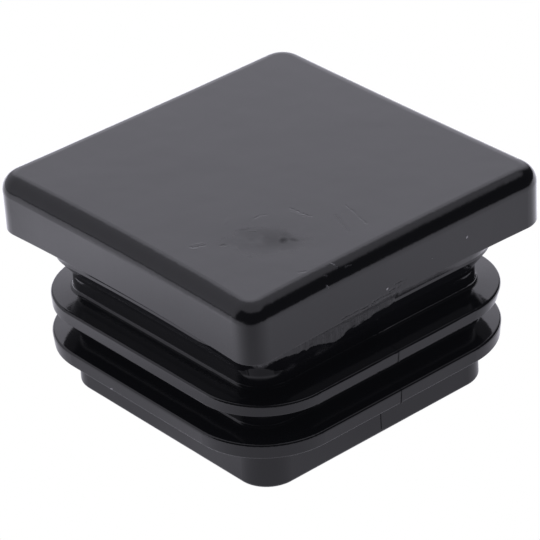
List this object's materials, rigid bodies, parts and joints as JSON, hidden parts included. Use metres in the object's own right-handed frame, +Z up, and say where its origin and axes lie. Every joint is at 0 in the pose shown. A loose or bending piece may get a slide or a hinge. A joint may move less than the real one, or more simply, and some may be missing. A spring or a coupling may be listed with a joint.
{
  "type": "square tube end cap",
  "caption": "Square plastic end cap for a square steel tube, with a rounded head, a stepped shoulder and a hollow plug ringed by flexible sealing fins.",
  "frame": {"origin": "centre of the open mouth of the plug, in the plane of its rim, at the bottom of the part", "axes": "+Z up through the crown of the head, along the plug; X and Y square to the sides; the mould parts on the plane y = 0"},
  "size_m": [0.03, 0.03, 0.0185],
  "materials": {
    "black_plastic": "satin black moulded plastic, lightly scratched"
  },
  "bodies": {
    "root": {"end_cap": "black_plastic"}
  },
  "joints": []
}
